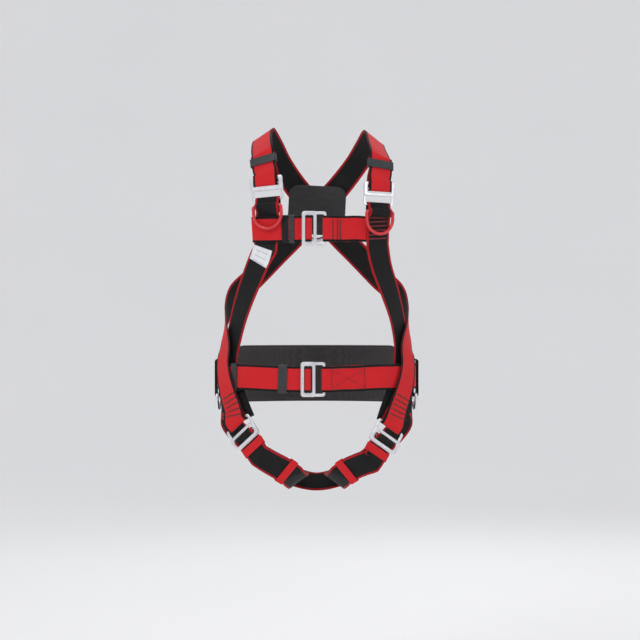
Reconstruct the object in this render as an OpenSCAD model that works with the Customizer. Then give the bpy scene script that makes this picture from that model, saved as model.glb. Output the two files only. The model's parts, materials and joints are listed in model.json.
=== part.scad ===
// Full body safety harness with a work belt, in the shape it takes when worn.
// Millimetres. +Z is up, the front faces -Y, and the wearer's right is -X.
// The origin is the centre of the torso at the height of the waist belt.

/* [Webbing] */
// Width of every load strap
web_w = 45; // [44:0.5:45.5]
// Thickness of the webbing
web_t = 1.8; // [1.4:0.1:1.8]
// Longest step between two rings of a strap
web_step = 14; // [10:1:20]

/* [Buckles] */
// Length of a buckle plate, across the strap
plate_l = 61; // [60:1:64]
// Width of a buckle plate, along the strap
plate_w = 25; // [24:1:26]
// Thickness of the plates and the frames
plate_t = 2.6; // [2.6:0.1:2.8]
// Length of a buckle frame, across the strap
frame_l = 60; // [59:1:62]
// Width of a buckle frame, along the strap
frame_w = 43; // [42.5:0.5:44]
// Diameter of the sliding bar that the strap turns round
bar_d = 4; // [3.4:0.1:4]

/* [Rings] */
// Wire diameter of the two chest rings
chest_wire = 5.8; // [5:0.2:5.8]
// Wire diameter of the two side rings
side_wire = 6; // [5:0.5:6]
// Wire diameter of the dorsal ring
dorsal_wire = 9; // [8:0.5:9]

/* [Belt] */
// Height of the lumbar pad
pad_h = 100; // [80:5:104]
// Thickness of the lumbar pad
pad_t = 6; // [4:0.5:6.5]

/* [Hidden] */
red = "firebrick";
black = "#202020";
steel = "silver";

// ---- The wearer's torso, which is not drawn: half sizes of its oval section at each height
half_width = [[-200, 150], [-130, 168], [-60, 170], [0, 168], [60, 162], [130, 157],
    [200, 165], [260, 175], [330, 178], [400, 175]];
half_front = [[-150, 106], [-60, 112], [0, 110], [60, 106], [130, 108], [200, 114], [240, 118],
    [265, 120], [300, 125], [345, 124], [375, 117], [400, 105]];
half_back = [[-200, 90], [-130, 112], [-60, 112], [0, 106], [60, 98], [130, 98], [200, 106],
    [260, 114], [330, 118], [385, 112]];

// ---- Vectors and curves
function unit(v) = v / norm(v);
function square_to(v, n) = unit(v - (v * n) * n);
function spline(a, b, c, d, t) = 0.5 * (2 * b + (c - a) * t + (2 * a - 5 * b + 4 * c - d) * t * t
    + (3 * b - a - 3 * c + d) * t * t * t);

// A strap's route is a list of [place, outward direction]. This rounds it off.
function smooth(k) = [
    for (i = [0 : len(k) - 2])
        let(a = k[max(i - 1, 0)], b = k[i], c = k[i + 1], d = k[min(i + 2, len(k) - 1)],
            steps = max(1, ceil(norm(c[0] - b[0]) / web_step)))
        for (s = [0 : steps - 1])
            [spline(a[0], b[0], c[0], d[0], s / steps), spline(a[1], b[1], c[1], d[1], s / steps)],
    k[len(k) - 1]];
function mirrored(k) = [for (p = k) [[-p[0][0], p[0][1], p[0][2]], [-p[1][0], p[1][1], p[1][2]]]];
function turned_over(k) = [for (p = k) [p[0], -p[1]]];
function backwards(k) = [for (i = [len(k) - 1 : -1 : 0]) k[i]];
function sunk(k, depth) = [for (p = k) [p[0] - unit(p[1]) * depth, p[1]]];

// Places on the torso, lifted off it: by bearing from the front, or by x on the front or the back
function round_at(bearing, z, lift) =
    let(a = lookup(z, half_width) + lift,
        b = lookup(z, cos(bearing) > 0 ? half_front : half_back) + lift)
    [[a * sin(bearing), -b * cos(bearing), z], unit([sin(bearing) / a, -cos(bearing) / b, 0])];
function front_at(x, z, lift) = round_at(asin(x / (lookup(z, half_width) + lift)), z, lift);
function back_at(x, z, lift) = round_at(180 - asin(x / (lookup(z, half_width) + lift)), z, lift);
// A place on top of the shoulder, facing away from a line through both shoulders
function crown_at(x, y, z) = [[x, y, z], unit([0.44 * x, y, z - 370])];

// A station is [place, direction along the strap, outward direction]
function station(at, toward) =
    let(n = unit(at[1])) [at[0], square_to(toward, n), n];
// The station half way between two places, along the straight line from one to the other
function station_on(a, b) =
    let(along = unit(b[0] - a[0])) [(a[0] + b[0]) / 2, along, square_to(a[1] + b[1], along)];
function off(s, along, out) = s[0] + s[1] * along + s[2] * out;
function across(s) = cross(s[1], s[2]);
function local(s, points) = [for (p = points) [off(s, p[0], p[1]), s[2]]];
function turn_round(s, along, out, r, from, to, steps) = [
    for (i = [0 : steps])
        let(a = from + (to - from) * i / steps)
        [off(s, along + r * cos(a), out + r * sin(a)), s[1] * cos(a) + s[2] * sin(a)]];

// ---- Buckle stack, along the outward direction from the middle of the plate
shoulder_lift = 8;
buckle_lift = 10.2;
leg_lift = 12.8;
bar_turn = bar_d / 2 + 0.6 + web_t / 2;
frame_gap = 0.7;
frame_out = -plate_t - frame_gap;
frame_rail = 4;
frame_far = 27.5;
frame_turn = norm([frame_rail, plate_t]) / 2 + 0.25 + web_t / 2;
tail_out = frame_out - plate_t / 2 - 0.5 - web_t / 2;
under_out = tail_out + 0.1;
under_tail_out = under_out - 2.5;
window_w = 14;
window_l = 46.8;
bar_back = 2;
bar_fore = 0.4;
ring_along = 39;
ring_out = 3.2;
ring_turn = chest_wire / 2 + 0.4 + web_t / 2;

// Strap over the plate's near rail, round the bar and away under the frame's near rail
function through_plate(s) = concat(
    local(s, [[-20, 0.6], [-15, 3], [-8, bar_turn], [-3, bar_turn]]),
    turn_round(s, 0, 0, bar_turn, 90, -60, 7),
    turned_over(local(s, [[-0.5, -5.3], [-4, tail_out + 0.1], [-9, tail_out], [-18, tail_out]])));
// Strap under both near rails, up round the bar and back beneath itself
function under_plate(s) = concat(
    local(s, [[-18.5, under_out], [-9, under_out]]),
    turned_to(s, [[-7.1, -4.5, 130], [-5.3, -1, 165], [-4.9, 1.2, 155], [-3, 3.2, 120],
        [0, 3.9, 90], [2.5, 3, 50],
        [3.6, 0.6, 10], [3.3, -2.2, -15], [1.5, -5.4, -45]]),
    turned_over(local(s, [[-3, -8], [-9, under_tail_out], [-18, under_tail_out]])));
// Places beside a station, each with the angle it faces
function turned_to(s, points) = [
    for (p = points) [off(s, p[0], p[1]), s[1] * cos(p[2]) + s[2] * sin(p[2])]];
// Strap folded round the frame's far rail: in under it along a lead, then out over it
function round_frame(s, lead) = concat(
    turned_over(concat(lead, local(s, [[frame_far + 6, frame_out - frame_turn]]))),
    turn_round(s, frame_far, frame_out, frame_turn, 270, 90, 8));
function flat_lead(s, along) = local(s, [[along, frame_out - frame_turn]]);

shoulder_right = station(front_at(-88, 338, shoulder_lift), [0.08, 0, -1]);
shoulder_left = station(front_at(110, 329, shoulder_lift), [-0.03, 0, -1]);
chest = station(front_at(-12.5, 259, buckle_lift), [1, 0, 0]);
waist = station(front_at(-14.5, -3, buckle_lift), [1, 0, 0]);
leg_right = station(front_at(-127, -104, leg_lift), [-0.69, 0, 0.72]);
leg_left = station(front_at(120, -111, leg_lift), [0.59, 0, 0.81]);

// ---- Stations where straps run straight: inside the bands that slide, and where two straps cross
shoulder_fold_right = station_on(front_at(-92.8, 391, 0), front_at(-89.7, 365, 0));
shoulder_fold_left = station_on(front_at(110, 384, 0), front_at(110, 359, 0));
chest_fold = station_on(leaning(front_at(-62, 259, 3.8), -0.08),
    leaning(front_at(-34, 259, 2.2), -0.08));
waist_fold = station_on(front_at(-74, -2, 0), front_at(-42, -3, 0));
crossing_right = station_on(front_at(-85.2, 282, 5.4), front_at(-88.2, 238, 4.4));
crossing_left = station_on(front_at(108, 282, 9), front_at(107, 238, 5.4));
leg_mid_points = [[[45, -79, -172], [-0.2, -0.9, -0.3]], [[61, -89, -161], [0, -0.97, -0.2]]];
leg_mid_left = station_on(leg_mid_points[0], leg_mid_points[1]);
leg_mid_right = station_on(mirrored(leg_mid_points)[0], mirrored(leg_mid_points)[1]);
function leaning(k, z) = [k[0], k[1] + [0, 0, z]];
// The same place with its direction turned level
function sideways(s) = [s[0], unit(cross(s[2], [0, 0, 1])), s[2]];
// A station moved some way along itself
function moved(s, by) = [off(s, by, 0), s[1], s[2]];

// ---- Routes of the straps
// Two layers of strap lie this far apart, middle to middle
layer = 2.6;
fold_in = 1.9;
fold_out = fold_in + layer + 0.1;

shoulder_route_right = concat(
    smooth(concat(
        [back_at(-0.8, 305.9, 7.6), back_at(-36, 345, 7.4), back_at(-64, 385, 5),
            crown_at(-83, 64, 419), crown_at(-95, 8, 435), crown_at(-98, -48, 417)],
        local(shoulder_fold_right, [[-16, 5.6], [-11, 5.6], [10, 5.6], [12, 5.6]]))),
    through_plate(shoulder_right),
    turned_over(local(shoulder_fold_right, [[9, 2.8], [-12, 2.8]])));
shoulder_route_left = concat(
    smooth(concat(
        [back_at(0.8, 305.9, 11.2), back_at(38, 345, 10.6), back_at(70, 385, 5.4),
            crown_at(90, 64, 414), crown_at(102, 8, 430), crown_at(107, -48, 411)],
        local(shoulder_fold_left, [[-16, 5.6], [-11, 5.6], [10, 5.6], [12, 5.6]]))),
    through_plate(shoulder_left),
    turned_over(local(shoulder_fold_left, [[9, 2.8], [-12, 2.8]])));

// Down the chest, over the ring's bar, inside the belt and under the hip strap to the thigh
function over_ring(s) = concat(
    local(s, [[frame_far + 5, 1.4]]),
    turn_round(s, ring_along, ring_out, ring_turn, 120, 60, 4));
front_route_right = concat(
    round_frame(shoulder_right, flat_lead(shoulder_right, 52)),
    over_ring(shoulder_right),
    smooth(concat(
        local(shoulder_right, [[ring_along + 8, 4.2]]),
        local(crossing_right, [[-25, 0.5], [-21, 0], [30, 0], [34, 0]]),
        [front_at(-98, 210, 3.6), front_at(-109, 185, 3), front_at(-124, 148, 3),
            front_at(-137, 109, 2.6), front_at(-147, 66, 2.2), front_at(-152, 34, 2),
            front_at(-151, 0, 2), front_at(-142, -32, 1.4), front_at(-133, -58, 1),
            front_at(-126, -76, 1)])));
front_route_left = concat(
    round_frame(shoulder_left, flat_lead(shoulder_left, 49)),
    over_ring(shoulder_left),
    smooth(concat(
        local(shoulder_left, [[ring_along + 8, 4.2]]),
        local(crossing_left, [[-20, 0], [-16, 0], [26, 0], [30, 0]]),
        [front_at(114, 195, 4), front_at(129, 152, 3), front_at(142, 109, 2.6),
            front_at(149, 66, 2.2), front_at(150, 34, 2), front_at(147, 0, 2),
            front_at(138, -32, 1.4), front_at(129, -60, 1), front_at(123, -80, 1)])));

// Down the back, round the hip over the belt and folded on the leg frame
hip_left = concat(
    [back_at(0, 305, 7.6), back_at(38, 262, 7.4), back_at(78, 220, 5), back_at(118, 176, 4),
        round_at(114, 146, 4), round_at(96, 112, 5), round_at(80, 82, 7), front_at(161, 52, 11),
        front_at(163, 24, 14.5), front_at(160, -4, 14.5), front_at(153, -30, 14), front_at(144, -56, 12)],
    local(leg_left, [[frame_far + 8, 0.9]]));
hip_right = concat(
    [back_at(0, 305, 11.2), back_at(-38, 262, 10.6), back_at(-78, 220, 5.4), back_at(-118, 176, 4),
        round_at(-114, 146, 4), round_at(-96, 112, 5), round_at(-80, 82, 7), front_at(-164, 52, 11),
        front_at(-167, 24, 14.5), front_at(-164, -4, 14.5), front_at(-157, -32, 14.6),
        front_at(-148, -58, 12)],
    local(leg_right, [[frame_far + 8, 0.9]]));
function hip_route(hip, buckle) = concat(smooth(hip), backwards(round_frame(buckle, flat_lead(buckle, 56))));
back_route_left = hip_route(hip_left, leg_left);
back_route_right = hip_route(hip_right, leg_right);

// Under the seat from hip to hip. The back ends of the leg straps lie inside it.
seat_joint = [[60, 94, -180], [0.2, 0.75, -0.6]];
seat_half = [round_at(80, -48, 1.2), round_at(92, -60, 1.2),
    round_at(106, -80, 1.8), round_at(125, -110, 2.6), [[108, 92, -146], [0.5, 0.8, -0.3]], seat_joint,
    [[30, 89, -193], [0.08, 0.7, -0.7]]];
seat_middle = [[0, 87, -198], [0, 0.67, -0.74]];
seat_route = smooth(concat(mirrored(seat_half), [seat_middle], backwards(seat_half)));

// From the seat strap through the crotch and over the thigh
crotch_half = concat(
    sunk([[[78, 94, -170], [0.3, 0.77, -0.5]], seat_joint], layer + 0.4),
    [[[42, 70, -187], [-0.2, 0.6, -0.75]], [[33, 40, -189], [-0.5, 0.35, -0.79]],
        [[31, 0, -189], [-0.61, 0, -0.79]], [[33, -40, -187], [-0.5, -0.45, -0.74]],
        [[39, -65, -180], [-0.3, -0.8, -0.5]]]);
thigh_right = [[-82, -95, -149], [-0.3, -0.94, -0.12]];
thigh_left = [[82, -95, -151.5], [0.3, -0.94, -0.12]];
function leg_route(half, mid, thigh, buckle) = concat(
    smooth(concat(half, local(mid, [[-13, 0], [-10, 0], [10, 0], [13, 0]]), [thigh],
        local(buckle, [[-41.5, under_out], [-38.5, under_out], [-35, under_out]]))),
    under_plate(buckle),
    turned_over(smooth(concat(
        local(buckle, [[-35, under_tail_out], [-38.5, under_tail_out], [-41.5, under_tail_out]]),
        sunk([thigh], layer),
        local(mid, [[13, -layer], [10, -layer], [-10, -layer]])))));
leg_route_right = leg_route(mirrored(crotch_half), leg_mid_right, thigh_right, leg_right);
leg_route_left = leg_route(crotch_half, leg_mid_left, thigh_left, leg_left);

// Looped round the right front strap, to the buckle, and the other half under the left one
loop_right = sideways(moved(crossing_right, 1.5));
under_left = sideways(moved(crossing_left, 1.5));
chest_route_right = concat(
    turned_over(local(loop_right, [[-19, -layer - 0.1], [0, -layer - 0.1], [21, -layer - 0.1]])),
    turn_round(loop_right, 24.5, 0, layer + 0.1, -75, 75, 6),
    local(loop_right, [[21, layer + 0.2], [0, layer + 0.4], [-19, layer + 0.9], [-23.5, layer + 0.9]]),
    local(chest_fold, [[-13.5, fold_out], [-12, fold_out], [13, fold_out]]),
    under_plate(chest),
    turned_over(local(chest_fold, [[11, fold_in], [-12, fold_in]])));
chest_route_left = concat(
    round_frame(chest, [front_at(58, 259, 1.3), front_at(42, 259, 1.3)]),
    smooth(concat(local(chest, [[frame_far + 5, -0.4], [frame_far + 13, -4.4]]),
        [front_at(46, 259, 4.4), front_at(68, 260, 2.6)],
        local(under_left, [[22, -layer - 0.1], [0, -layer - 0.1], [-24, -layer - 0.1]]))));

belt_half = [round_at(180, 2, 10.4), round_at(166, 2, 10.4), round_at(150, 2, 10.4),
    round_at(135, 2, 10.2), round_at(120, 2, 10.2), round_at(107, 2, 10.2), round_at(95, 1, 10.2),
    round_at(78, 0, 10.6)];
belt_route_right = concat(
    smooth(concat(mirrored(belt_half), [front_at(-156, 0, 11), front_at(-138, 0, 11),
        front_at(-122, 0, 10.8), front_at(-98, -1, 7.2)],
        local(waist_fold, [[-14, fold_out], [14, fold_out]]))),
    under_plate(waist),
    turned_over(smooth(concat(local(waist_fold, [[12, fold_in], [-14, fold_in]]),
        [front_at(-98, -1, 4.4), front_at(-122, 0, 8.1), front_at(-138, 0, 8.3), front_at(-150, 0, 8.3)]))));
belt_route_left = concat(
    round_frame(waist, [front_at(88, -1, 1.8), front_at(62, -1, 1.4), front_at(42, -2, 1.3)]),
    smooth(concat(local(waist, [[frame_far + 5, -0.4], [frame_far + 13, -4.4]]),
        [front_at(46, -2, 4.6), front_at(64, -2, 4.2), front_at(84, -1, 4.8), front_at(110, 0, 7.2),
            front_at(134, 0, 8.8), front_at(156, 0, 10)], backwards(belt_half))));

label_route = smooth([front_at(-94, 227, 5.9), front_at(-98, 212, 5.5), front_at(-103, 200, 5.2)]);

// ---- Shapes
// A strap: a flat band swept along its route
module ribbon(route, w = web_w, t = web_t) {
    last = len(route) - 1;
    corners = [[-1, 1], [1, 1], [1, -1], [-1, -1]];
    points = [
        for (i = [0 : last])
            let(ahead = unit(route[min(i + 1, last)][0] - route[max(i - 1, 0)][0]),
                out = square_to(route[i][1], ahead),
                side = cross(ahead, out))
            for (c = corners)
                route[i][0] + side * c[0] * w / 2 + out * c[1] * t / 2];
    sides = [
        for (i = [0 : last - 1])
            for (j = [0 : 3])
                let(a = 4 * i + j, b = 4 * i + (j + 1) % 4)
                each [[a, a + 4, b + 4], [a, b + 4, b]]];
    end = 4 * last;
    caps = [[0, 1, 2], [0, 2, 3], [end + 2, end + 1, end], [end + 3, end + 2, end]];
    polyhedron(points = points, faces = concat(caps, sides), convexity = 12);
}

// Puts a shape at a station: its x runs across the strap, y along it and z outward
module at_station(s, along = 0, out = 0) {
    p = off(s, along, out);
    x = across(s);
    y = s[1];
    z = s[2];
    multmatrix([[x[0], y[0], z[0], p[0]], [x[1], y[1], z[1], p[1]], [x[2], y[2], z[2], p[2]]])
        children();
}

module rounded(w, h, r) {
    square([w - 2 * r, h], center = true);
    square([w, h - 2 * r], center = true);
    for (x = [-1, 1], y = [-1, 1])
        translate([x * (w / 2 - r), y * (h / 2 - r)])
            circle(r, $fn = 32);
}

// Plate with one window. A slot inside each flank carries an end of the sliding bar.
slot_depth = 2.2;
slot_r = 0.95;
module buckle_plate(s) {
    color(steel)
        at_station(s)
            difference() {
                translate([0, 0, -plate_t / 2])
                    linear_extrude(plate_t)
                        difference() {
                            rounded(plate_l, plate_w, 4);
                            rounded(window_l, window_w, 1.4);
                        }
                translate([-window_l / 2 - slot_depth, -bar_back - slot_r, -slot_r])
                    cube([window_l + 2 * slot_depth, bar_back + bar_fore + 2 * slot_r, 2 * slot_r]);
            }
}

// Bar with a thin journal at each end
journal_d = 1.6;
module buckle_bar(s) {
    color(steel)
        at_station(s)
            rotate([0, 90, 0]) {
                cylinder(d = bar_d, h = window_l - 0.6, center = true, $fn = 32);
                cylinder(d = journal_d, h = window_l + 2 * slot_depth - 0.6, center = true, $fn = 32);
            }
}

module buckle_frame(s) {
    color(steel)
        at_station(s, frame_far + frame_rail / 2 - frame_w / 2, frame_out)
            translate([0, 0, -plate_t / 2])
                linear_extrude(plate_t)
                    difference() {
                        rounded(frame_l, frame_w, 4);
                        rounded(frame_l - 2 * frame_rail - 2, frame_w - 2 * frame_rail, 2);
                    }
}

// A band round one or more layers of strap, from one height to another above the station
module band(s, low, high, length, wall, inner_w = web_w + 1.6) {
    color(black)
        at_station(s, 0, (low + high) / 2)
            rotate([90, 0, 0])
                linear_extrude(length, center = true)
                    difference() {
                        rounded(inner_w + 2 * wall, high - low + 2 * wall, wall + 0.4);
                        rounded(inner_w, high - low, 0.5);
                    }
}

// A D ring hanging from its straight bar, which lies along x at the origin
module d_ring(wire, inner_w, arm) {
    r = (inner_w + wire) / 2;
    rotate([0, 90, 0])
        cylinder(d = wire, h = 2 * r, center = true, $fn = 32);
    for (x = [-r, r])
        translate([x, 0, 0]) {
            sphere(d = wire, $fn = 32);
            rotate([90, 0, 0])
                cylinder(d = wire, h = arm, $fn = 32);
        }
    translate([0, -arm, 0])
        rotate([0, 0, 180])
            rotate_extrude(angle = 180, $fn = 64)
                translate([r, 0])
                    circle(d = wire, $fn = 32);
}

// A ring's station looks straight down as far as its bar allows, so that it hangs at rest
function hanging(s, along, out) =
    let(x = across(s), down = square_to([0, 0, -1], x))
    [off(s, along, out), -down, cross(x, -down)];

// ---- Sub-parts
module chest_ring(s) {
    color(red)
        at_station(hanging(s, ring_along, ring_out))
            d_ring(chest_wire, 46.4, 13);
}

side_bearing = 93;
side_drop = -33;
side_inner = 34;
hanger_w = 32;
function side_station(sign) = station(round_at(sign * side_bearing, 0, 0), [0, 0, -1]);
side_out = 9.2;

module side_ring(sign) {
    color(steel)
        at_station(hanging(side_station(sign), -side_drop, side_out))
            d_ring(side_wire, side_inner, 6);
}

// Loop over the belt, with the ring's bar in its lower bend
module side_hanger(sign) {
    s = side_station(sign);
    turn = side_wire / 2 + 0.35 + web_t / 2;
    color(black)
        ribbon(concat(
            turned_over(local(s, [[-8, side_out - turn], [-24, side_out - turn]])),
            turn_round(s, -25.5, side_out, turn, 270, 90, 8),
            local(s, [[-20, side_out + turn], [20, side_out + turn], [-side_drop - 1, side_out + turn]]),
            turn_round(s, -side_drop, side_out, turn, 90, -90, 8),
            turned_over(local(s, [[28, side_out - turn], [6, side_out - turn]]))), hanger_w, web_t);
}

dorsal = station(back_at(0, 305, 0), [0, 0, -1]);
dorsal_patch_out = 14.4;
dorsal_bar_out = dorsal_patch_out + web_t / 2 + 0.4 + dorsal_wire / 2;
dorsal_bar_along = 2;

// Curved plate under the crossing of the back straps
module dorsal_plate() {
    reach = 17;
    steps = 4;
    color(black)
        intersection() {
            ribbon([for (i = [-steps : steps])
                round_at(180 - i * reach / steps, 305, 1.8)], 88, 2.6);
            at_station(dorsal, 0, -20)
                linear_extrude(40)
                    rounded(104, 88, 18);
        }
}

module dorsal_patch() {
    color(black)
        ribbon(local(dorsal, [[-36, dorsal_patch_out], [-16, dorsal_patch_out], [4, dorsal_patch_out],
            [21, dorsal_patch_out]]));
}

module dorsal_loop() {
    over = dorsal_bar_out + dorsal_wire / 2 + 0.4 + web_t / 2;
    rest = dorsal_patch_out + layer;
    color(black)
        ribbon(smooth(local(dorsal, [[-35, rest], [-22, rest + 0.4], [-12, rest + 5], [-5, over - 1],
            [dorsal_bar_along, over], [8, over - 2], [13, rest + 3.5], [20, rest]])));
}

module dorsal_ring() {
    color(steel)
        at_station(hanging(dorsal, dorsal_bar_along, dorsal_bar_out))
            d_ring(dorsal_wire, 47, 24);
}

// Padded support inside the back of the belt, lower at the sides than the straps that pass it
module lumbar_pad() {
    reach = 62;
    steps = 16;
    low = 1.4;
    color(black)
        ribbon([for (i = [-steps : steps])
            round_at(180 - i * reach / steps, 2, low + pad_t / 2)], pad_h, pad_t);
}

side_keeper_at = station(front_at(-137, 0, 0), [1, 0, 0]);
module fold_band(s, along, length, wall)
    band(moved(s, along), fold_in - 1.5, fold_out + 1.5, length, wall);
module shoulder_keeper(s) band(s, 1.2, 7.2, 15, 1.6);
module waist_keeper_front() fold_band(waist_fold, 0, 16, 1.6);
module waist_keeper_side() band(side_keeper_at, 6.7, 12.6, 14, 1.2);
module chest_elastic() fold_band(chest_fold, -6.2, 11, 1);
module chest_keeper() fold_band(chest_fold, 5.4, 10, 1.6);
module leg_band_upper(s)
    band(moved(s, -23.5), under_tail_out - 1.6, under_out + 1.5, 15, 1.2);
module leg_band_mid(s) band(s, -layer - 1.5, 1.5, 15, 1.2);

color(red) ribbon(shoulder_route_right);  // shoulder_strap_right
color(red) ribbon(shoulder_route_left);  // shoulder_strap_left
color(red) ribbon(back_route_right);  // back_strap_right
color(red) ribbon(back_route_left);  // back_strap_left
color(black) ribbon(front_route_right);  // front_strap_right
color(black) ribbon(front_route_left);  // front_strap_left
color(black) ribbon(leg_route_right);  // leg_strap_right
color(black) ribbon(leg_route_left);  // leg_strap_left
color(black) ribbon(seat_route);  // seat_strap
color(red) ribbon(chest_route_right);  // chest_strap_right
color(red) ribbon(chest_route_left);  // chest_strap_left
color(red) ribbon(belt_route_right);  // waist_belt_right
color(red) ribbon(belt_route_left);  // waist_belt_left
lumbar_pad();
buckle_plate(shoulder_right);  // shoulder_plate_right
buckle_plate(shoulder_left);  // shoulder_plate_left
buckle_plate(chest);  // chest_plate
buckle_plate(waist);  // waist_plate
buckle_plate(leg_right);  // leg_plate_right
buckle_plate(leg_left);  // leg_plate_left
buckle_bar(shoulder_right);  // shoulder_bar_right
buckle_bar(shoulder_left);  // shoulder_bar_left
buckle_bar(chest);  // chest_bar
buckle_bar(waist);  // waist_bar
buckle_bar(leg_right);  // leg_bar_right
buckle_bar(leg_left);  // leg_bar_left
buckle_frame(shoulder_right);  // shoulder_frame_right
buckle_frame(shoulder_left);  // shoulder_frame_left
buckle_frame(chest);  // chest_frame
buckle_frame(waist);  // waist_frame
buckle_frame(leg_right);  // leg_frame_right
buckle_frame(leg_left);  // leg_frame_left
shoulder_keeper(shoulder_fold_right);  // shoulder_keeper_right
shoulder_keeper(shoulder_fold_left);  // shoulder_keeper_left
chest_elastic();
chest_keeper();
waist_keeper_front();
waist_keeper_side();
leg_band_upper(leg_right);  // leg_band_upper_right
leg_band_upper(leg_left);  // leg_band_upper_left
leg_band_mid(leg_mid_right);  // leg_band_mid_right
leg_band_mid(leg_mid_left);  // leg_band_mid_left
dorsal_plate();
dorsal_patch();
dorsal_loop();
dorsal_ring();
chest_ring(shoulder_right);  // chest_ring_right
chest_ring(shoulder_left);  // chest_ring_left
side_hanger(-1);  // side_hanger_right
side_hanger(1);  // side_hanger_left
side_ring(-1);  // side_ring_right
side_ring(1);  // side_ring_left
color("white") ribbon(label_route, 38, 0.6);  // strap_label
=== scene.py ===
import json
import math

import bpy
import numpy as np
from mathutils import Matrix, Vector


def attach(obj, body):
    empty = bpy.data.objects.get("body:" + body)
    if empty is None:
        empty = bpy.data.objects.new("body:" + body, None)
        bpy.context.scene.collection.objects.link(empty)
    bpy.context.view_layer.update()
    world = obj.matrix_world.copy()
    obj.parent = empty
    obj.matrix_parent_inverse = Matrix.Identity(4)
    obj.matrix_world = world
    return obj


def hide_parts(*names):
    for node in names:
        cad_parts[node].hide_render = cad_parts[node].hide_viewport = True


# A full body safety harness: webbing, buckles, rings, keepers and a back pad.
# Metres throughout. The front faces -Y and the wearer's right is -X.

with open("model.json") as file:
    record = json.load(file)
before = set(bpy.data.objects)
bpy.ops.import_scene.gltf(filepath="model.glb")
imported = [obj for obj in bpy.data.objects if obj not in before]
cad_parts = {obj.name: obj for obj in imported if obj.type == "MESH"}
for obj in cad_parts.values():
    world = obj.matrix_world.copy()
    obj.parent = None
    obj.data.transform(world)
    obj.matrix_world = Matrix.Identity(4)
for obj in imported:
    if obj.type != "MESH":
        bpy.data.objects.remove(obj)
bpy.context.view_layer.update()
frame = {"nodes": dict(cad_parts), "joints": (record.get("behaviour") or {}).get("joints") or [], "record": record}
NODES = frame["nodes"]
BODIES = frame["record"]["behaviour"]["bodies"]
BODY_OF = {node: body for body, nodes in BODIES.items() for node in nodes}
SIDES = ("right", "left")

MM = 0.001
WEB_T = 1.8 * MM                    # thickness of the load webbing
HALF_WEB = 22.5 * MM                # half its width
SELVEDGE = 4.2 * MM                 # plain strip along each of its sides
RIB_PITCH = 1.5 * MM
PICK_PITCH = 1.9 * MM
REACH = 18.5 * MM                   # stitches go this far to each side of a strap's middle
TACK = (-0.7 * MM, 0.0, 0.7 * MM)   # a bar tack is three lines of stitches close together


# ---------------------------------------------------------------- camera
def make_camera():
    """Level camera in front. At the plane of the front straps its view is seen_width wide."""
    sensor, distance, front_plane, seen_width = 36.0, 3.4, -0.10, 1.12
    aim_x, aim_z = 0.006, 0.1005
    data = bpy.data.cameras.new("camera")
    data.sensor_width = sensor
    data.lens = sensor * (distance + front_plane) / seen_width
    camera = bpy.data.objects.new("camera", data)
    camera.location = (aim_x, -distance, aim_z)
    camera.rotation_euler = (math.radians(90), 0, 0)
    bpy.context.scene.collection.objects.link(camera)
    bpy.context.scene.camera = camera


# ---------------------------------------------------------------- material building blocks
class Shader:
    """A new material with short ways to add and join nodes."""

    def __init__(self, name):
        self.material = bpy.data.materials.new(name)
        self.material.use_nodes = True
        self.tree = self.material.node_tree
        self.body = self.tree.nodes["Principled BSDF"]

    def add(self, kind, **settings):
        made = self.tree.nodes.new(kind)
        for key, value in settings.items():
            setattr(made, key, value)
        return made

    def put(self, socket, value):
        if isinstance(value, bpy.types.NodeSocket):
            self.tree.links.new(value, socket)
        else:
            socket.default_value = value

    def math(self, operation, a, b=0.0):
        made = self.add("ShaderNodeMath", operation=operation)
        for socket, value in zip(made.inputs, (a, b)):
            self.put(socket, value)
        return made.outputs[0]

    def mix(self, factor, a, b):
        made = self.add("ShaderNodeMix", data_type="RGBA")
        self.put(made.inputs[0], factor)
        self.put(made.inputs[6], a)
        self.put(made.inputs[7], b)
        return made.outputs[2]

    def noise(self, scale, detail, vector):
        made = self.add("ShaderNodeTexNoise")
        self.put(made.inputs["Scale"], scale)
        self.put(made.inputs["Detail"], detail)
        self.put(made.inputs["Vector"], vector)
        return made.outputs[0]

    def place(self, scale=(1, 1, 1)):
        """The point in the object's own metres, times scale."""
        made = self.add("ShaderNodeMapping")
        self.put(made.inputs["Vector"], self.add("ShaderNodeTexCoord").outputs["Object"])
        made.inputs["Scale"].default_value = scale
        return made.outputs[0]

    def across_and_along(self):
        """Metres across and along a strap, from its map."""
        split = self.add("ShaderNodeSeparateXYZ")
        self.put(split.inputs[0], self.add("ShaderNodeUVMap", uv_map="cloth").outputs[0])
        return split.outputs[0], split.outputs[1]

    def spread(self, value, low, high, to_low=0.0, to_high=1.0):
        made = self.add("ShaderNodeMapRange")
        for socket, number in zip(made.inputs, (value, low, high, to_low, to_high)):
            self.put(socket, number)
        return made.outputs[0]

    def bump(self, height, distance, strength=1.0):
        made = self.add("ShaderNodeBump")
        self.put(made.inputs["Height"], height)
        made.inputs["Distance"].default_value = distance
        made.inputs["Strength"].default_value = strength
        self.put(self.body.inputs["Normal"], made.outputs[0])

    def set(self, **values):
        for key, value in values.items():
            self.put(self.body.inputs[key.replace("_", " ")], value)


def colour(r, g, b):
    return (r, g, b, 1.0)


# In the webbing the _LIGHT tones are painted light on the raised yarns, and RED and BLACK the painted shade in the
# hollows of the weave.
RED = colour(0.56, 0.009, 0.014)
RED_LIGHT = colour(0.76, 0.02, 0.026)
RED_EDGE = colour(0.42, 0.008, 0.014)
BLACK = colour(0.004, 0.004, 0.0045)
BLACK_LIGHT = colour(0.014, 0.014, 0.015)


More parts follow.
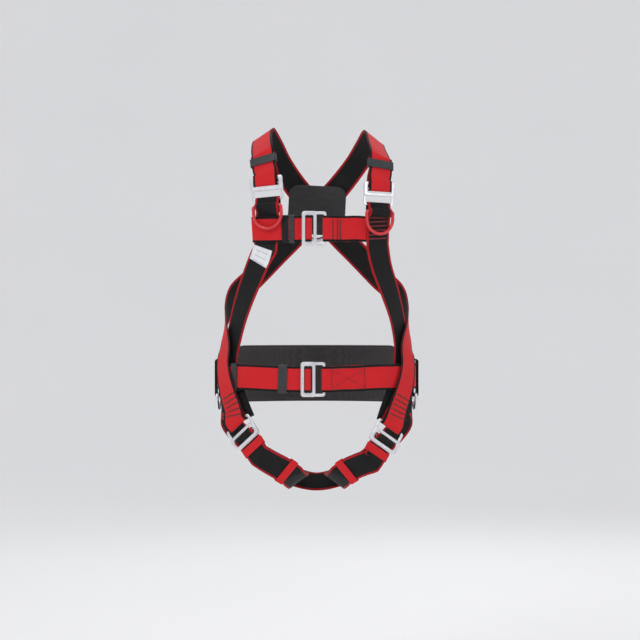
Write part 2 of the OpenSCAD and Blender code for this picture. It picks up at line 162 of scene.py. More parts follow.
def webbing(name, dark, light, edge, sheen=0.06):
    """Woven tape: long ribs crossed by slanted picks, with a plain selvedge along each side. Its colour carries
    painted shade: the raised yarns take the light tone and the hollows between them the dark tone, mixed with
    random patches of tone.
    """
    s = Shader(name)
    across, along = s.across_and_along()
    rib = s.math("SINE", s.math("MULTIPLY", across, math.tau / RIB_PITCH))
    zigzag = s.math("PINGPONG", across, 3 * RIB_PITCH)
    slanted = s.math("ADD", along, zigzag)
    pick = s.math("SINE", s.math("MULTIPLY", slanted, math.tau / PICK_PITCH))
    weave = s.math("MULTIPLY", s.math("ADD", s.math("MULTIPLY", rib, 0.55), pick), 0.5)
    soft = s.spread(weave, -0.8, 0.8)
    patches = s.noise(38.0, 4.0, s.place())
    fibres = s.noise(900.0, 2.0, s.place())
    # painted shade of the weave: lighter on the raised yarns, darker in the hollows, plus random patches of tone
    weave_shade_and_patches = s.math("ADD", s.math("MULTIPLY", soft, 0.55), s.math("MULTIPLY", patches, 0.35))
    face = s.mix(weave_shade_and_patches, dark, light)
    border = HALF_WEB - SELVEDGE
    at_edge = s.spread(s.math("ABSOLUTE", across), border, border + 0.4 * MM)
    s.set(Base_Color=s.mix(at_edge, face, edge))
    s.set(Roughness=s.spread(fibres, 0.3, 0.7, 0.62, 0.85))
    s.set(Sheen_Weight=sheen, Sheen_Roughness=0.5, Specular_IOR_Level=0.22)
    s.bump(s.math("ADD", weave, s.math("MULTIPLY", fibres, 0.6)), 0.22 * MM, 0.75)
    return s.material


def metal(name, base, rough_low, rough_high, grain=(900, 900, 60)):
    """Plated steel: a bright skin with faint drawn grain, cloudy patches and fine pits."""
    s = Shader(name)
    clouds = s.noise(55.0, 5.0, s.place())
    lines = s.noise(1.0, 3.0, s.place(grain))
    pits = s.noise(1600.0, 2.0, s.place())
    dull = colour(base[0] * 0.8, base[1] * 0.8, base[2] * 0.82)
    s.set(Base_Color=s.mix(s.spread(clouds, 0.35, 0.7), base, dull))
    s.set(Metallic=1.0)
    blend = s.math("ADD", s.math("MULTIPLY", clouds, 0.6), s.math("MULTIPLY", lines, 0.4))
    s.set(Roughness=s.spread(blend, 0.3, 0.7, rough_low, rough_high))
    s.bump(s.math("ADD", s.math("MULTIPLY", lines, 0.6), s.math("MULTIPLY", pits, 0.4)), 0.05 * MM, 0.35)
    return s.material


def plastic(name, base, rough=0.5):
    """Moulded plastic with a spark eroded grain and faint flow marks."""
    s = Shader(name)
    grain = s.noise(1500.0, 3.0, s.place())
    flow = s.noise(45.0, 2.0, s.place((1, 1, 3)))
    pale = colour(base[0] * 1.6, base[1] * 1.6, base[2] * 1.6)
    s.set(Base_Color=s.mix(s.spread(flow, 0.3, 0.75), base, pale))
    s.set(Roughness=s.spread(grain, 0.3, 0.7, rough - 0.08, rough + 0.12), Specular_IOR_Level=0.45)
    s.bump(grain, 0.08 * MM, 0.5)
    return s.material


def coating(name, base):
    """Dipped glossy coating, a little uneven."""
    s = Shader(name)
    waves = s.noise(120.0, 3.0, s.place())
    deep = colour(base[0] * 0.75, base[1] * 0.6, base[2] * 0.6)
    s.set(Base_Color=s.mix(s.spread(waves, 0.3, 0.7), base, deep))
    s.set(Roughness=s.spread(waves, 0.3, 0.7, 0.25, 0.38), Coat_Weight=0.5, Coat_Roughness=0.12)
    s.bump(waves, 0.15 * MM, 0.4)
    return s.material


def spacer_fabric(name):
    """Black three dimensional mesh over foam: small cells in offset rows."""
    s = Shader(name)
    cells = s.add("ShaderNodeTexVoronoi", feature="F1")
    s.put(cells.inputs["Vector"], s.place((1, 1, 1.3)))
    cells.inputs["Scale"].default_value = 420.0
    cells.inputs["Randomness"].default_value = 0.25
    cell = cells.outputs["Distance"]
    fuzz = s.noise(700.0, 3.0, s.place())
    # painted shade: each cell is darker at its sunken middle and lighter towards its raised rim
    s.set(Base_Color=s.mix(s.spread(cell, 0.1, 0.6), BLACK, colour(0.035, 0.035, 0.038)))
    s.set(Roughness=0.88, Sheen_Weight=0.3, Sheen_Roughness=0.6)
    s.bump(s.math("ADD", cell, s.math("MULTIPLY", fuzz, 0.3)), 0.5 * MM, 0.8)
    return s.material


def label_cloth(name):
    """White satin label with two plain grey lines and a sewn border."""
    s = Shader(name)
    across, along = s.across_and_along()
    satin = s.math("SINE", s.math("MULTIPLY", s.math("ADD", across, along), math.tau / (0.8 * MM)))
    dirt = s.noise(120.0, 4.0, s.place())
    white = s.mix(s.spread(dirt, 0.35, 0.75), colour(0.86, 0.87, 0.9), colour(0.74, 0.75, 0.79))
    line = s.math("PINGPONG", s.math("ADD", along, 2.0 * MM), 5.0 * MM)
    bars = s.math("LESS_THAN", line, 0.55 * MM)
    inside = s.math("LESS_THAN", s.math("ABSOLUTE", across), 12 * MM)
    s.set(Base_Color=s.mix(s.math("MULTIPLY", bars, inside), white, colour(0.42, 0.45, 0.5)))
    s.set(Roughness=0.5, Sheen_Weight=0.2)
    s.bump(satin, 0.05 * MM, 0.4)
    return s.material


def thread(name, base):
    """Twisted sewing thread."""
    s = Shader(name)
    ply = s.noise(2200.0, 2.0, s.place())
    s.set(Base_Color=s.mix(ply, base, colour(base[0] * 0.5, base[1] * 0.5, base[2] * 0.5)))
    s.set(Roughness=0.6, Sheen_Weight=0.3)
    s.bump(ply, 0.1 * MM, 0.5)
    return s.material


RED_FACE = webbing("webbing_red_face", RED, RED_LIGHT, BLACK)
BLACK_FACE = webbing("webbing_black_face", BLACK, BLACK_LIGHT, RED_EDGE, sheen=0.02)
BAND_CLOTH = webbing("band_red", RED, RED_LIGHT, RED_EDGE)
TAPE_BLACK = webbing("tape_black", BLACK, BLACK_LIGHT, BLACK, sheen=0.08)
ELASTIC = webbing("elastic_black", BLACK, colour(0.02, 0.02, 0.022), BLACK, sheen=0.15)
ZINC = metal("zinc_plate", colour(0.86, 0.87, 0.89), 0.24, 0.42)
STEEL = metal("forged_steel", colour(0.74, 0.75, 0.77), 0.28, 0.45)
KEEPER = plastic("keeper_plastic", colour(0.022, 0.024, 0.026))
PLATE_PLASTIC = plastic("back_plate_plastic", colour(0.014, 0.014, 0.015), 0.42)
RING_RED = coating("ring_coating", colour(0.72, 0.012, 0.02))
PAD_CLOTH = spacer_fabric("pad_cloth")
LABEL_CLOTH = label_cloth("label_cloth")
RED_THREAD = thread("thread_red", colour(0.42, 0.01, 0.02))
BLACK_THREAD = thread("thread_black", colour(0.012, 0.012, 0.013))
BINDING = thread("binding_tape", colour(0.02, 0.02, 0.021))


# ---------------------------------------------------------------- meshes
def new_piece(name, points, faces, materials, slots=None, uv=None, smooth=True):
    mesh = bpy.data.meshes.new(name)
    mesh.from_pydata([tuple(p) for p in points], [], faces)
    for material in materials:
        mesh.materials.append(material)
    if slots is not None:
        mesh.polygons.foreach_set("material_index", slots)
    if smooth:
        mesh.polygons.foreach_set("use_smooth", [True] * len(faces))
    if uv is not None:
        layer = mesh.uv_layers.new(name="cloth")
        index = np.zeros(len(mesh.loops), np.int32)
        mesh.loops.foreach_get("vertex_index", index)
        layer.data.foreach_set("uv", np.asarray(uv, float)[index].ravel())
    piece = bpy.data.objects.new(name, mesh)
    bpy.context.scene.collection.objects.link(piece)
    return piece


def stand_for(piece, node):
    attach(piece, BODY_OF[node])
    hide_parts(node)


def tube_faces(rings, sides, closed):
    """Quads between rings of points, each ring having the same number of sides."""
    faces = []
    for i in range(rings if closed else rings - 1):
        a, b = i * sides, (i + 1) % rings * sides
        for j in range(sides):
            k = (j + 1) % sides
            faces.append((a + j, a + k, b + k, b + j))
    return faces


def unit(v):
    return v / np.linalg.norm(v)


# ---------------------------------------------------------------- straps, read from the frame
def welded(node):
    """A node's distinct corners and which of them share an edge."""
    mesh = NODES[node].data
    spots, number, index = {}, [], []
    for vertex in mesh.vertices:
        key = tuple(round(c * 1e6) for c in vertex.co)
        if key not in spots:
            spots[key] = len(number)
            number.append(np.array(vertex.co))
        index.append(spots[key])
    near = [set() for _ in number]
    for edge in mesh.edges:
        a, b = (index[v] for v in edge.vertices)
        near[a].add(b)
        near[b].add(a)
    return np.array(number), near


def strap_rings(node, end_toward, face_toward):
    """The cross sections of a swept strap in order, from the end that lies furthest toward end_toward.
    Each is (centre, side, out), and out at that first end looks toward face_toward."""
    points, near = welded(node)
    caps = [i for i, n in enumerate(near) if len(n - {i}) < 6]
    first = max(caps, key=lambda i: points[i] @ Vector(end_toward))
    ring = {first} | {i for i in caps if i in near[first]}
    if len(ring) < 4:
        ring |= {i for j in list(ring) for i in near[j] if i in caps}
    seen, rings = set(ring), [sorted(ring)]
    while True:
        after = {i for j in rings[-1] for i in near[j]} - seen
        if not after:
            break
        seen |= after
        rings.append(sorted(after))
    route, side, out = [], None, np.array(face_toward, float)
    for ring in rings:
        p = points[ring]
        partner = min(range(1, 4), key=lambda j: np.linalg.norm(p[0] - p[j]))
        others = [j for j in range(1, 4) if j != partner]
        low, high = (p[0] + p[partner]) / 2, (p[others[0]] + p[others[1]]) / 2
        across = unit(high - low)
        if side is not None and across @ side < 0:
            across = -across
        thick = unit(p[partner] - p[0])
        out = thick if thick @ out > 0 else -thick
        side = across
        route.append((p.mean(0), side, out))
    width = np.linalg.norm(high - low)
    return route, width


def finer(route, step=3.2 * MM):
    """The same route with rounded, closer sections, and the length run up to each."""
    fine = []
    for i in range(len(route) - 1):
        a, b = route[max(i - 1, 0)], route[i]
        c, d = route[i + 1], route[min(i + 2, len(route) - 1)]
        count = max(1, math.ceil(np.linalg.norm(c[0] - b[0]) / step))
        for k in range(count):
            t = k / count
            curve = [0.5 * (2 * q + (r - p) * t + (2 * p - 5 * q + 4 * r - s) * t * t
                            + (3 * q - p - 3 * r + s) * t ** 3) for p, q, r, s in zip(a, b, c, d)]
            fine.append((curve[0], unit(curve[1]), unit(curve[2])))
    fine.append(route[-1])
    run = [0.0]
    for before, after in zip(fine, fine[1:]):
        run.append(run[-1] + np.linalg.norm(after[0] - before[0]))
    return fine, run


def strap_section(width, thick, columns=16):
    """Half outlines of woven tape, for its front and back: (across, out)."""
    half, edge = width / 2, thick * 0.5
    front = [(-half, 0.0), (-half + 0.25 * edge, 0.62 * edge)]
    for i in range(columns + 1):
        a = -half + edge * 0.9 + (width - 1.8 * edge) * i / columns
        front.append((a, thick / 2))
    front += [(half - 0.25 * edge, 0.62 * edge), (half, 0.0)]
    return front


def build_strap(node, end_toward, face_toward, front, back, slot, thick=WEB_T, wave=0.12 * MM,
                plain_below=None):
    """Lays woven tape along a strap's frame solid, one material to each face.
    Below the height plain_below the tape is black all over."""
    route, width = strap_rings(node, end_toward, face_toward)
    fine, run = finer(route)
    top = strap_section(width, thick)
    outline = top + [(a, -o) for a, o in reversed(top[1:-1])]
    points, uv = [], []
    for (centre, side, out), length in zip(fine, run):
        for a, o in outline:
            ripple = wave * math.sin(length / 0.017 + a * 90) * math.sin(length / 0.041)
            points.append(centre + side * a + out * (o + ripple))
            uv.append((a, length))
    sides = len(outline)
    faces = tube_faces(len(fine), sides, False)
    slots = [0 if i % sides < len(top) - 1 else 1 for i in range(len(faces))]
    if plain_below is not None:
        slots = [2 if fine[i // sides][0][2] < plain_below else kind for i, kind in enumerate(slots)]
    last = (len(fine) - 1) * sides
    faces += [tuple(reversed(range(sides))), tuple(range(last, last + sides))]
    slots += [0, 0]
    piece = new_piece(node + "_webbing", points, faces, [front, back, TAPE_BLACK], slots, uv)
    stand_for(piece, node)
    return {"piece": piece, "fine": fine, "run": run, "width": width, "thick": thick}


def place_on(strap, length, across):
    """A point on a strap's outer face, and the way that the face looks there."""
    run, fine = strap["run"], strap["fine"]
    i = min(max(int(np.searchsorted(run, length)) - 1, 0), len(fine) - 2)
    t = (length - run[i]) / max(run[i + 1] - run[i], 1e-9)
    centre, side, out = (p * (1 - t) + q * t for p, q in zip(fine[i], fine[i + 1]))
    side, out = unit(side), unit(out)
    return centre + side * across + out * strap["thick"] / 2, out


def length_where(strap, test):
    """How far along the strap test(place, out) first holds."""
    for (centre, _, out), length in zip(strap["fine"], strap["run"]):
        if test(centre, out):
            return length
    raise ValueError("nowhere on the strap fits")


def stitches(name, strap, marks, material, stitch=2.6 * MM, gap=0.9 * MM, wide=0.55 * MM):
    """Sewn lines on a strap. marks are ((length, across), (length, across)) from end to end.
    Each stitch is a short spindle: (how far along, rise, girth) in profile."""
    profile = ((0.0, -0.15, 0.5), (0.2, 0.35, 0.95), (0.5, 0.5, 1.0), (0.8, 0.35, 0.95), (1.0, -0.15, 0.5))
    sides = 6
    stitch_faces = tube_faces(len(profile), sides, False)
    last = (len(profile) - 1) * sides
    stitch_faces += [tuple(reversed(range(sides))), tuple(range(last, last + sides))]
    points, faces = [], []
    for start, end in marks:
        start, end = np.array(start), np.array(end)
        total = np.linalg.norm(end - start)
        count = max(1, int(total / (stitch + gap)))
        for k in range(count):
            a = start + (end - start) * ((k * (stitch + gap)) / total)
            b = start + (end - start) * ((k * (stitch + gap) + stitch) / total)
            out = place_on(strap, *((a + b) / 2))[1]
            p, q = place_on(strap, *a)[0], place_on(strap, *b)[0]
            lie = unit(q - p)
            beside = np.cross(lie, out)
            base = len(points)
            for t, rise, girth in profile:
                spine = p + (q - p) * t + out * wide * rise
                for j in range(sides):
                    turn = math.tau * j / sides
                    points.append(spine + (beside * math.cos(turn) + out * math.sin(turn) * 0.7)
                                  * wide * girth * 0.5)
            faces += [tuple(base + v for v in face) for face in stitch_faces]
    piece = new_piece(name, points, faces, [material])
    piece.parent = strap["piece"]
    return piece


# ---------------------------------------------------------------- hardware, read from the frame
def station(node, out_toward=None):
    """A flat or banded node's own axes: (centre, across, along, out) and its size on each."""
    p = np.array([v.co for v in NODES[node].data.vertices])
    middle = (p.max(0) + p.min(0)) / 2
    if out_toward is None:
        out_toward = np.array((middle[0] * 0.5, middle[1], 0.0))
    hint = unit(np.array(out_toward, float))
    _, axes = np.linalg.eigh(np.cov((p - p.mean(0)).T))
    axes = [axes[:, i] for i in range(3)]
    spans = [np.ptp(p @ axis) for axis in axes]
    across = axes[int(np.argmax(spans))]
    rest = [axis for axis in axes if axis is not across]
    out = max(rest, key=lambda axis: abs(axis @ hint))
    along = [axis for axis in rest if axis is not out][0]
    out = out if out @ hint > 0 else -out
    along = along if along[2] < 0 or abs(along[2]) < 0.1 and along[0] > 0 else -along
    across = np.cross(along, out)
    axes = (across, along, out)
    centre = sum(axis * ((p @ axis).max() + (p @ axis).min()) / 2 for axis in axes)
    return centre, axes, [np.ptp(p @ axis) for axis in axes]


def rounded_outline(w, h, r, per=7):
    """Points round a rectangle with round corners. Every outline has the same number of points."""
    r = max(min(r, w / 2, h / 2), 1e-5)
    points = []
    for corner, (sx, sy) in enumerate(((1, 1), (-1, 1), (-1, -1), (1, -1))):
        for i in range(per):
            a = math.radians(90 * corner + 90 * i / (per - 1))
            points.append((sx * (w / 2 - r) + r * math.cos(a), sy * (h / 2 - r) + r * math.sin(a)))
    return points


def pierced(name, centre, axes, outer, inner, thick, bevel, material, steps=3):
    """A flat piece with one window, or a band: outer and inner are (width, height, corner radius)."""
    rows = []
    for edge, sign in ((outer, 1), (inner, -1)):
        half = []
        for i in range(steps + 1):
            a = math.radians(90 * i / steps)
            half.append((bevel * (1 - math.cos(a)), thick / 2 - bevel + bevel * math.sin(a)))
        walk = [(inset, -z) for inset, z in reversed(half)] + half
        walk = walk if sign == 1 else list(reversed(walk))
        rows += [(edge, sign, inset, z) for inset, z in walk]
    points, uv = [], []
    for (w, h, r), sign, inset, z in rows:
        ring = rounded_outline(w - 2 * sign * inset, h - 2 * sign * inset, r - sign * inset)
        run = 0.0
        for i, (x, y) in enumerate(ring):
            run += math.hypot(x - ring[i - 1][0], y - ring[i - 1][1]) if i else 0.0
            points.append(centre + axes[0] * x + axes[1] * y + axes[2] * z)
            uv.append((z, run))
    sides = len(points) // len(rows)
    return new_piece(name, points, tube_faces(len(rows), sides, True), [material], uv=uv)


def build_plate(node):
    """Buckle plate: stamped steel with softly rolled edges."""
    centre, axes, (long, wide, thick) = station(node)
    outer = (long, wide, 4.2 * MM)
    inner = (46.8 * MM, 14 * MM, 2.6 * MM)
    piece = pierced(node + "_steel", centre, axes, outer, inner, thick, 0.85 * MM, ZINC)
    stand_for(piece, node)


def build_frame(node):
    """Buckle frame: a flat ring of steel with rounder rails."""
    centre, axes, (long, wide, thick) = station(node)
    rail = 4 * MM
    outer = (long, wide, 4.5 * MM)
    inner = (long - 2 * rail - 2 * MM, wide - 2 * rail, 2.4 * MM)
    piece = pierced(node + "_steel", centre, axes, outer, inner, thick, 1.05 * MM, ZINC)
    stand_for(piece, node)


def lathe(name, start, axis, profile, material, sides=24):
    """Turns (distance, radius) pairs round an axis from start."""
    axis = unit(np.array(axis, float))
    first = unit(np.cross(axis, (0.3, 0.1, 0.9)))
    second = np.cross(axis, first)
    points = [start + axis * d + (first * math.cos(math.tau * j / sides)
              + second * math.sin(math.tau * j / sides)) * r for d, r in profile for j in range(sides)]
    faces = tube_faces(len(profile), sides, False)
    last = (len(profile) - 1) * sides
    faces += [tuple(reversed(range(sides))), tuple(range(last, last + sides))]
    return new_piece(name, points, faces, [material])


def build_bar(node, plate):
    """Sliding bar with a grooved grip and rounded ends."""
    p = np.array([v.co for v in NODES[node].data.vertices])
    middle = (p.max(0) + p.min(0)) / 2
    axis = station(plate)[1][0]
    half, r = 23.1 * MM, 1.8 * MM
    profile = [(0.0, r * 0.6), (0.3 * MM, r * 0.9), (0.8 * MM, r)]
    grooves = 26
    for i in range(grooves):
        d = 2 * MM + (2 * half - 4 * MM) * i / (grooves - 1)
        profile.append((d, r if i % 2 else r - 0.25 * MM))
    profile += [(2 * half - 0.8 * MM, r), (2 * half - 0.3 * MM, r * 0.9), (2 * half, r * 0.6)]
    stand_for(lathe(node + "_steel", middle - axis * half, axis, profile, STEEL), node)


def build_ring(node, material):
    """D ring: one bent and welded wire with small round corners."""
    joint = next(j for j in frame["joints"] if j["child"] == node)
    start, axis = np.array(joint["pos_m"]), unit(np.array(joint["axis"]))
    p = np.array([v.co for v in NODES[node].data.vertices]) - start
    down = p.mean(0) - axis * (p.mean(0) @ axis)
    down = unit(down)
    out = np.cross(axis, down)
    wire = np.ptp(p @ out)
    r = np.ptp(p @ axis) / 2 - wire / 2
    arm = (p @ down).max() - wire / 2 - r
    corner = wire * 0.75
    path = [(-r + corner + (2 * r - 2 * corner) * i / 10, 0.0) for i in range(11)]
    for i in range(1, 6):
        a = math.radians(90 * i / 6)
        path.append((r - corner + corner * math.sin(a), corner - corner * math.cos(a)))
    path += [(r, corner + (arm - corner) * i / 5) for i in range(6)]
    path += [(r * math.cos(math.pi * i / 36), arm + r * math.sin(math.pi * i / 36)) for i in range(1, 36)]
    path += [(-r, arm - (arm - corner) * i / 5) for i in range(6)]
    for i in range(1, 6):
        a = math.radians(90 * i / 6)
        path.append((-r + corner - corner * math.sin(math.radians(90) - a),
                     corner - corner * math.cos(math.radians(90) - a)))
    points, sides = [], 18
    for i, (x, d) in enumerate(path):
        ahead = np.subtract(path[(i + 1) % len(path)], path[i - 1])
        ahead = ahead / np.linalg.norm(ahead)
        beside = axis * ahead[1] - down * ahead[0]
        for j in range(sides):
            a = math.tau * j / sides
            points.append(start + axis * x + down * d
                          + (beside * math.cos(a) + out * math.sin(a)) * wire / 2)
    piece = new_piece(node + "_wire", points, tube_faces(len(path), sides, True), [material])
    stand_for(piece, node)


def build_band(node, material, wall, bevel):
    """A loop round the strap layers: moulded plastic, elastic or folded tape."""
    centre, (across, along, out), (w, length, h) = station(node)
    outer = (w, h, wall + 1.2 * MM)
    inner = (w - 2 * wall, h - 2 * wall, 1.0 * MM)
    piece = pierced(node + "_band", centre, (across, out, along), outer, inner, length, bevel, material)
    stand_for(piece, node)


def build_back_plate():
    """Curved plastic plate under the crossing straps, with a raised rim and a domed panel.
    The profile runs from the edge's back to the middle: (millimetres in from the edge, height)."""
    centre, (across, along, out), (w, h, depth) = station("dorsal_plate", (0, 1, 0))
    t = 2.6 * MM
    crown = centre + out * (depth - t) / 2
    profile = [(1.5, -t / 2), (0.4, -t / 2 + 0.3 * MM), (0.0, -t / 2 + 0.9 * MM), (0.0, t / 2 - 0.8 * MM),
               (0.5, t / 2 - 0.15 * MM), (1.4, t / 2), (3.6, t / 2), (4.4, t / 2 - 0.4 * MM),
               (5.2, t / 2 - 0.9 * MM), (9.0, t / 2 - 0.9 * MM), (14.0, t / 2 - 0.6 * MM),
               (24.0, t / 2 - 0.4 * MM), (40.0, t / 2 - 0.35 * MM)]
    corner, points = 18 * MM, []
    for inset, z in profile:
        inset *= MM
        ring = rounded_outline(w - 2 * inset, max(h - 2 * inset, 2 * MM), corner - inset, 9)
        points += [crown + across * x + along * y + out * (z - (depth - t) * (2 * x / w) ** 2)
                   for x, y in ring]
    sides = len(ring)
    faces = tube_faces(len(profile), sides, False)
    faces += [tuple(reversed(range(sides))), tuple(range((len(profile) - 1) * sides, len(profile) * sides))]
    piece = new_piece("dorsal_plate_moulding", points, faces, [PLATE_PLASTIC])
    stand_for(piece, "dorsal_plate")


def build_pad():
    """Lumbar pad: foam in spacer fabric, crowned, with sewn channels and a bound edge."""
    route, width = strap_rings("lumbar_pad", (1, 0, 0), (0, 1, 0))
    fine, run = finer(route, 4 * MM)
    total, rows = run[-1], 30
    half_thick = 3.0 * MM
    points, faces, uv = [], [], []

    def half_height(s):
        from_end = min(s, total - s)
        corner = 26 * MM
        drop = max(0.0, 1 - from_end / corner)
        return width / 2 - 24 * MM * (1 - math.sqrt(max(0.0, 1 - drop * drop)))

    def swell(s, v):
        from_end = min(s, total - s, (1 - abs(v)) * half_height(s))
        edge = min(1.0, max(0.0, from_end) / (9 * MM))
        crown = math.sqrt(max(0.0, 1 - (1 - edge) ** 2))
        channel = min(abs(v - c) for c in (-0.62, -0.2, 0.2, 0.62)) * width / 2
        groove = 0.42 * math.exp(-(channel / (2.6 * MM)) ** 2)
        return 0.16 + 0.84 * crown * (1 - groove)

    for face in (1, -1):
        for (centre, side, out), s in zip(fine, run):
            for k in range(rows + 1):
                v = -1 + 2 * k / rows
                h = v * half_height(s)
                points.append(centre + side * h + out * face * half_thick * swell(s, v))
                uv.append((h, s))
    across = rows + 1
    count = len(fine)
    for face in range(2):
        base = face * count * across
        for i in range(count - 1):
            for k in range(rows):
                quad = [base + i * across + k, base + i * across + k + 1,
                        base + (i + 1) * across + k + 1, base + (i + 1) * across + k]
                faces.append(tuple(quad if face == 0 else reversed(quad)))
    rim = [i * across for i in range(count)] + [(count - 1) * across + k for k in range(1, across)]
    rim += [i * across + rows for i in reversed(range(count - 1))] + list(reversed(range(1, rows)))
    lower = count * across
    for a, b in zip(rim, rim[1:] + rim[:1]):
        faces.append((a, b, b + lower, a + lower))
    pad = new_piece("lumbar_pad_foam", points, faces, [PAD_CLOTH], uv=uv)
    stand_for(pad, "lumbar_pad")

    spine = [(np.array(points[i]) + np.array(points[i + lower])) / 2 for i in rim]
    tube, sides = [], 10
    for i, spot in enumerate(spine):
        ahead = unit(spine[(i + 1) % len(spine)] - spine[i - 1])
        flat = unit(np.array(points[rim[i]]) - np.array(points[rim[i] + lower]))
        beside = unit(np.cross(ahead, flat))
        for j in range(sides):
            a = math.tau * j / sides
            tube.append(spot + beside * math.cos(a) * 2.0 * MM + flat * math.sin(a) * 1.5 * MM)
    binding = new_piece("lumbar_pad_binding", tube, tube_faces(len(spine), sides, True), [BINDING])
    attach(binding, "webbing")


# ---------------------------------------------------------------- the harness
def build_webbing():
    straps = {}

    def lay(node, end, face, front, back, slot, **more):
        straps[node] = build_strap(node, end, face, front, back, slot, **more)

    for side in SIDES:
        inward = 1 if side == "right" else -1
        lay("shoulder_strap_" + side, (0, 1, 0), (0, 1, 0), RED_FACE, BLACK_FACE, "webbing_red")
        lay("back_strap_" + side, (0, 0, 1), (0, 1, 0), RED_FACE, BLACK_FACE, "webbing_red")
        lay("front_strap_" + side, (0, 0, -1), (0, -1, 0), BLACK_FACE, RED_FACE, "webbing_black",
            plain_below=-0.02)
        lay("leg_strap_" + side, (0, 1, 0), (0, 1, 0), BLACK_FACE, RED_FACE, "webbing_black")
        lay("waist_belt_" + side, (0, 1, 0), (0, 1, 0), RED_FACE, BLACK_FACE, "webbing_red")
        lay("side_hanger_" + side, (0, 0, 1), (inward, 0, 0), TAPE_BLACK, TAPE_BLACK, "webbing_black")
    lay("seat_strap", (-1, 0, 0), (-1, 0, 0), BLACK_FACE, BLACK_FACE, "webbing_black")
    lay("chest_strap_right", (-1, 0, 0), (0, 1, 0), RED_FACE, BLACK_FACE, "webbing_red")
    lay("chest_strap_left", (1, 0, 0), (0, -1, 0), RED_FACE, BLACK_FACE, "webbing_red")
    for node in ("dorsal_patch", "dorsal_loop"):
        lay(node, (0, 0, 1), (0, 1, 0), TAPE_BLACK, TAPE_BLACK, "webbing_black")
    lay("strap_label", (0, 0, 1), (0, -1, 0), LABEL_CLOTH, LABEL_CLOTH, "label", thick=0.6 * MM, wave=0.0)
    return straps


def sew(straps):
    """Bar tacks, the sewn box on the belt and the seams of the dorsal loop and the label."""

    def rows(name, strap, lengths, material):
        marks = [((at + beside, -REACH), (at + beside, REACH)) for at in lengths for beside in TACK]
        stitches(name, strap, marks, material, wide=0.85 * MM, gap=0.3 * MM)

    for side in SIDES:
        hip = straps["back_strap_" + side]
        first = length_where(hip, lambda p, out: p[2] < -0.034 and p[1] < 0)
        rows("hip_stitches_" + side, hip, [first + 9 * MM * i for i in range(5)], BLACK_THREAD)
        top = length_where(hip, lambda p, out: p[2] < 0.285)
        rows("cross_stitches_" + side, hip, [top + 6 * MM * i for i in range(3)], RED_THREAD)
    front = straps["front_strap_left"]
    low = length_where(front, lambda p, out: p[2] > 0.241)
    rows("front_stitches", front, [low + 7.4 * MM * i for i in range(6)], RED_THREAD)
    chest = straps["chest_strap_left"]
    spots = [length_where(chest, lambda p, out: p[0] < x) for x in (0.043, 0.037, 0.029)]
    rows("chest_stitches", chest, spots, BLACK_THREAD)

    belt = straps["waist_belt_left"]
    start, end = (length_where(belt, lambda p, out: p[0] < x and p[1] < 0) for x in (0.086, 0.028))
    box = [((start, -REACH), (start, REACH)), ((end, -REACH), (end, REACH)),
           ((start, REACH), (end, REACH)), ((start, -REACH), (end, -REACH))]
    parts, height, sway = 14, REACH - 2 * MM, 1.2 * MM
    for sign in (-1, 1):
        spots = [(start + (end - start) * i / parts,
                  sign * height * (1 - 2 * i / parts) + sway * math.sin(i * 1.9))
                 for i in range(parts + 1)]
        box += list(zip(spots, spots[1:]))
    stitches("belt_stitches", belt, box, BLACK_THREAD, wide=1.1 * MM, gap=0.4 * MM)

    seams = [((at, -REACH), (at, REACH)) for at in (3 * MM, 9 * MM)]
    stitches("patch_stitches", straps["dorsal_loop"], seams, BLACK_THREAD)

    label = straps["strap_label"]
    edge, half = 1.4 * MM, 17.5 * MM
    end = label["run"][-1] - edge
    border = [((edge, -half), (end, -half)), ((edge, half), (end, half)),
              ((edge, -half), (edge, half)), ((end, -half), (end, half))]
    stitches("label_stitches", label, border, LABEL_CLOTH, 1.6 * MM, 0.8 * MM, 0.35 * MM)


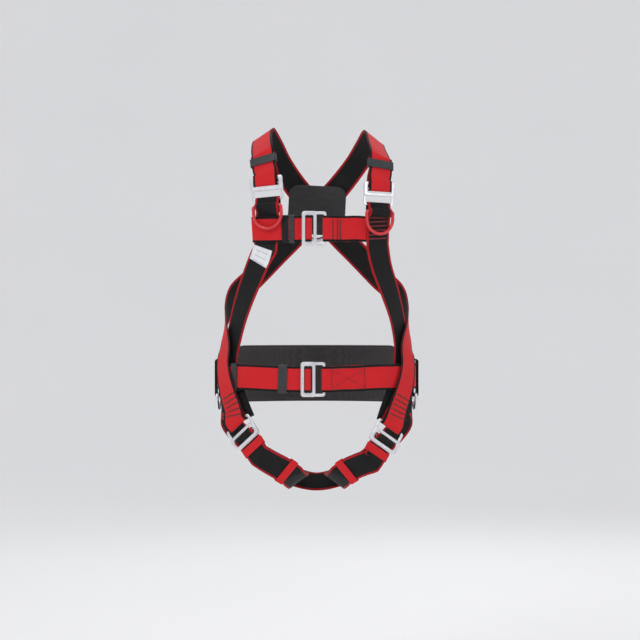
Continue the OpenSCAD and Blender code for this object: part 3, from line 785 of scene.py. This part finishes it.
def build_hardware():
    buckles = (("shoulder", "_right"), ("shoulder", "_left"), ("chest", ""), ("waist", ""),
               ("leg", "_right"), ("leg", "_left"))
    for place, side in buckles:
        plate = place + "_plate" + side
        build_plate(plate)
        build_frame(place + "_frame" + side)
        build_bar(place + "_bar" + side, plate)
    for side in SIDES:
        build_ring("chest_ring_" + side, RING_RED)
        build_ring("side_ring_" + side, ZINC)
        build_band("shoulder_keeper_" + side, KEEPER, 1.6 * MM, 0.6 * MM)
        build_band("leg_band_upper_" + side, BAND_CLOTH, 1.2 * MM, 0.5 * MM)
        build_band("leg_band_mid_" + side, BAND_CLOTH, 1.2 * MM, 0.5 * MM)
    build_ring("dorsal_ring", STEEL)
    build_band("chest_keeper", KEEPER, 1.6 * MM, 0.6 * MM)
    build_band("chest_elastic", ELASTIC, 1.0 * MM, 0.45 * MM)
    build_band("waist_keeper_front", KEEPER, 1.6 * MM, 0.6 * MM)
    build_band("waist_keeper_side", KEEPER, 1.2 * MM, 0.5 * MM)
    build_back_plate()
    build_pad()


# ---------------------------------------------------------------- studio
def build_studio():
    """A pale bowl: flat under the harness and rising all round, so that no horizon shows."""
    floor_z, flat_r, bend_r, top_z = -0.62, 3.2, 4.5, 9.0
    profile = [(flat_r, floor_z)]
    for i in range(1, 13):
        turn = math.radians(90 * i / 12)
        profile.append((flat_r + bend_r * math.sin(turn), floor_z + bend_r * (1 - math.cos(turn))))
    profile.append((flat_r + bend_r, top_z))
    sides = 96
    points = [(r * math.cos(math.tau * j / sides), r * math.sin(math.tau * j / sides), z)
              for r, z in profile for j in range(sides)]
    faces = tube_faces(len(profile), sides, False) + [tuple(reversed(range(sides)))]
    bowl = new_piece("studio_bowl", points, faces, [plain_floor()])

    world = bpy.data.worlds.new("studio")
    bpy.context.scene.world = world
    world.use_nodes = True
    sky = world.node_tree.nodes["Background"].inputs
    sky["Color"].default_value = colour(0.95, 0.96, 0.98)
    sky["Strength"].default_value = 0.6
    middle = Vector((0, 0, 0.1))
    lights = (("key", (-1.6, -2.4, 2.2), 1.1, 26), ("fill", (2.2, -2.0, 0.9), 1.6, 8),
              ("top", (0.0, 0.2, 2.6), 1.4, 10), ("back", (0.6, 2.6, 1.4), 1.8, 12))
    for name, place, size, power in lights:
        data = bpy.data.lights.new(name, "AREA")
        data.size = size
        data.energy = power
        light = bpy.data.objects.new(name, data)
        light.location = place
        light.rotation_euler = (middle - Vector(place)).to_track_quat("-Z", "Y").to_euler()
        bpy.context.scene.collection.objects.link(light)


def plain_floor():
    """Pale matt paint, a little cloudy."""
    s = Shader("floor_paint")
    cloud = s.noise(1.2, 2.0, s.place())
    s.set(Base_Color=s.mix(cloud, colour(0.90, 0.90, 0.91), colour(0.86, 0.86, 0.87)), Roughness=0.8,
          Emission_Color=colour(1.0, 1.0, 1.0), Emission_Strength=0.1)
    return s.material


make_camera()
build_studio()
sew(build_webbing())
build_hardware()
bpy.context.scene.view_settings.view_transform = "Standard"
